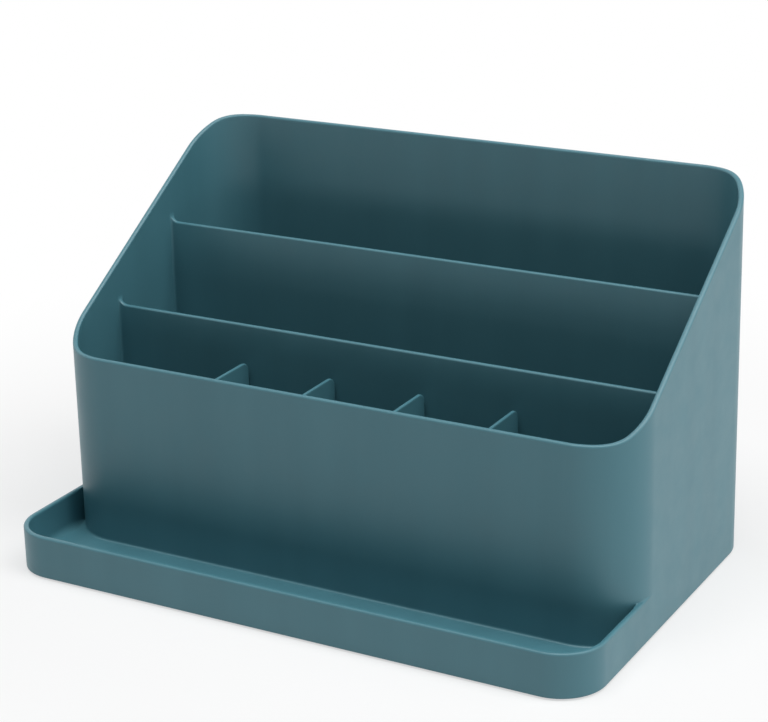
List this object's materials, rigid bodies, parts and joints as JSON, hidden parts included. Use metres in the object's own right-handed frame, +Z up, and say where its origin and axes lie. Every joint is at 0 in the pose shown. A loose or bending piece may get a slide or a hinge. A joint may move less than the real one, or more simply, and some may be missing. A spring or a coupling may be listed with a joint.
{
  "type": "desk organizer",
  "caption": "Tiered desk organizer in one moulding with a sloping open top, upright partitions, lift-out dividers in the front row and a shallow tray along the front.",
  "frame": {"origin": "on the desk, under the middle of the footprint", "axes": "+X to the right across the width, +Y to the back, +Z up"},
  "size_m": [0.28, 0.183, 0.1703],
  "materials": {
    "housing_plastic": "satin",
    "partition_plastic": "satin",
    "divider_plastic": "satin",
    "foot_rubber": "matte"
  },
  "bodies": {
    "base": {"housing": "housing_plastic", "front_partition": "partition_plastic", "rear_partition": "partition_plastic", "front_left_foot": "foot_rubber", "front_right_foot": "foot_rubber", "rear_left_foot": "foot_rubber", "rear_right_foot": "foot_rubber"},
    "left_outer_divider": {"left_outer_divider": "divider_plastic"},
    "left_inner_divider": {"left_inner_divider": "divider_plastic"},
    "right_inner_divider": {"right_inner_divider": "divider_plastic"},
    "right_outer_divider": {"right_outer_divider": "divider_plastic"}
  },
  "joints": [
    {"name": "left_outer_divider_lift", "type": "slide", "parent": "base", "child": "left_outer_divider", "axis": [0, 0, 1], "range_m": [0, 0.1]},
    {"name": "left_inner_divider_lift", "type": "slide", "parent": "base", "child": "left_inner_divider", "axis": [0, 0, 1], "range_m": [0, 0.1]},
    {"name": "right_inner_divider_lift", "type": "slide", "parent": "base", "child": "right_inner_divider", "axis": [0, 0, 1], "range_m": [0, 0.1]},
    {"name": "right_outer_divider_lift", "type": "slide", "parent": "base", "child": "right_outer_divider", "axis": [0, 0, 1], "range_m": [0, 0.1]}
  ]
}
